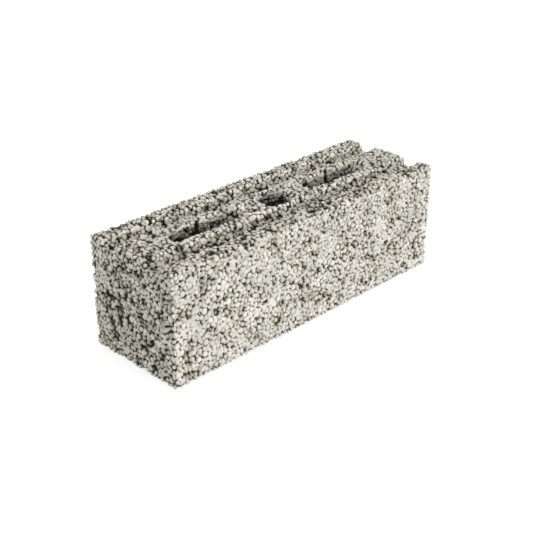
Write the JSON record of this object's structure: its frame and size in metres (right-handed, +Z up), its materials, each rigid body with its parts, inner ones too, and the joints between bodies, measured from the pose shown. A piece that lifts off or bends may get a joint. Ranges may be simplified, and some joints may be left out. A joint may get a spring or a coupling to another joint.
{
  "type": "lightweight aggregate concrete block",
  "caption": "Square-section masonry block of coarse open-grained lightweight concrete, with long grooves and closed grip pockets in its top bed.",
  "frame": {"origin": "middle of the bottom bed face", "axes": "+X along the block, +Y across it, +Z up to the bed face with the grooves and pockets"},
  "size_m": [0.59, 0.19, 0.19],
  "materials": {
    "lightweight_concrete": "rough open-grained cement surface of rounded expanded clay grains"
  },
  "bodies": {
    "root": {"block": "lightweight_concrete"}
  },
  "joints": []
}
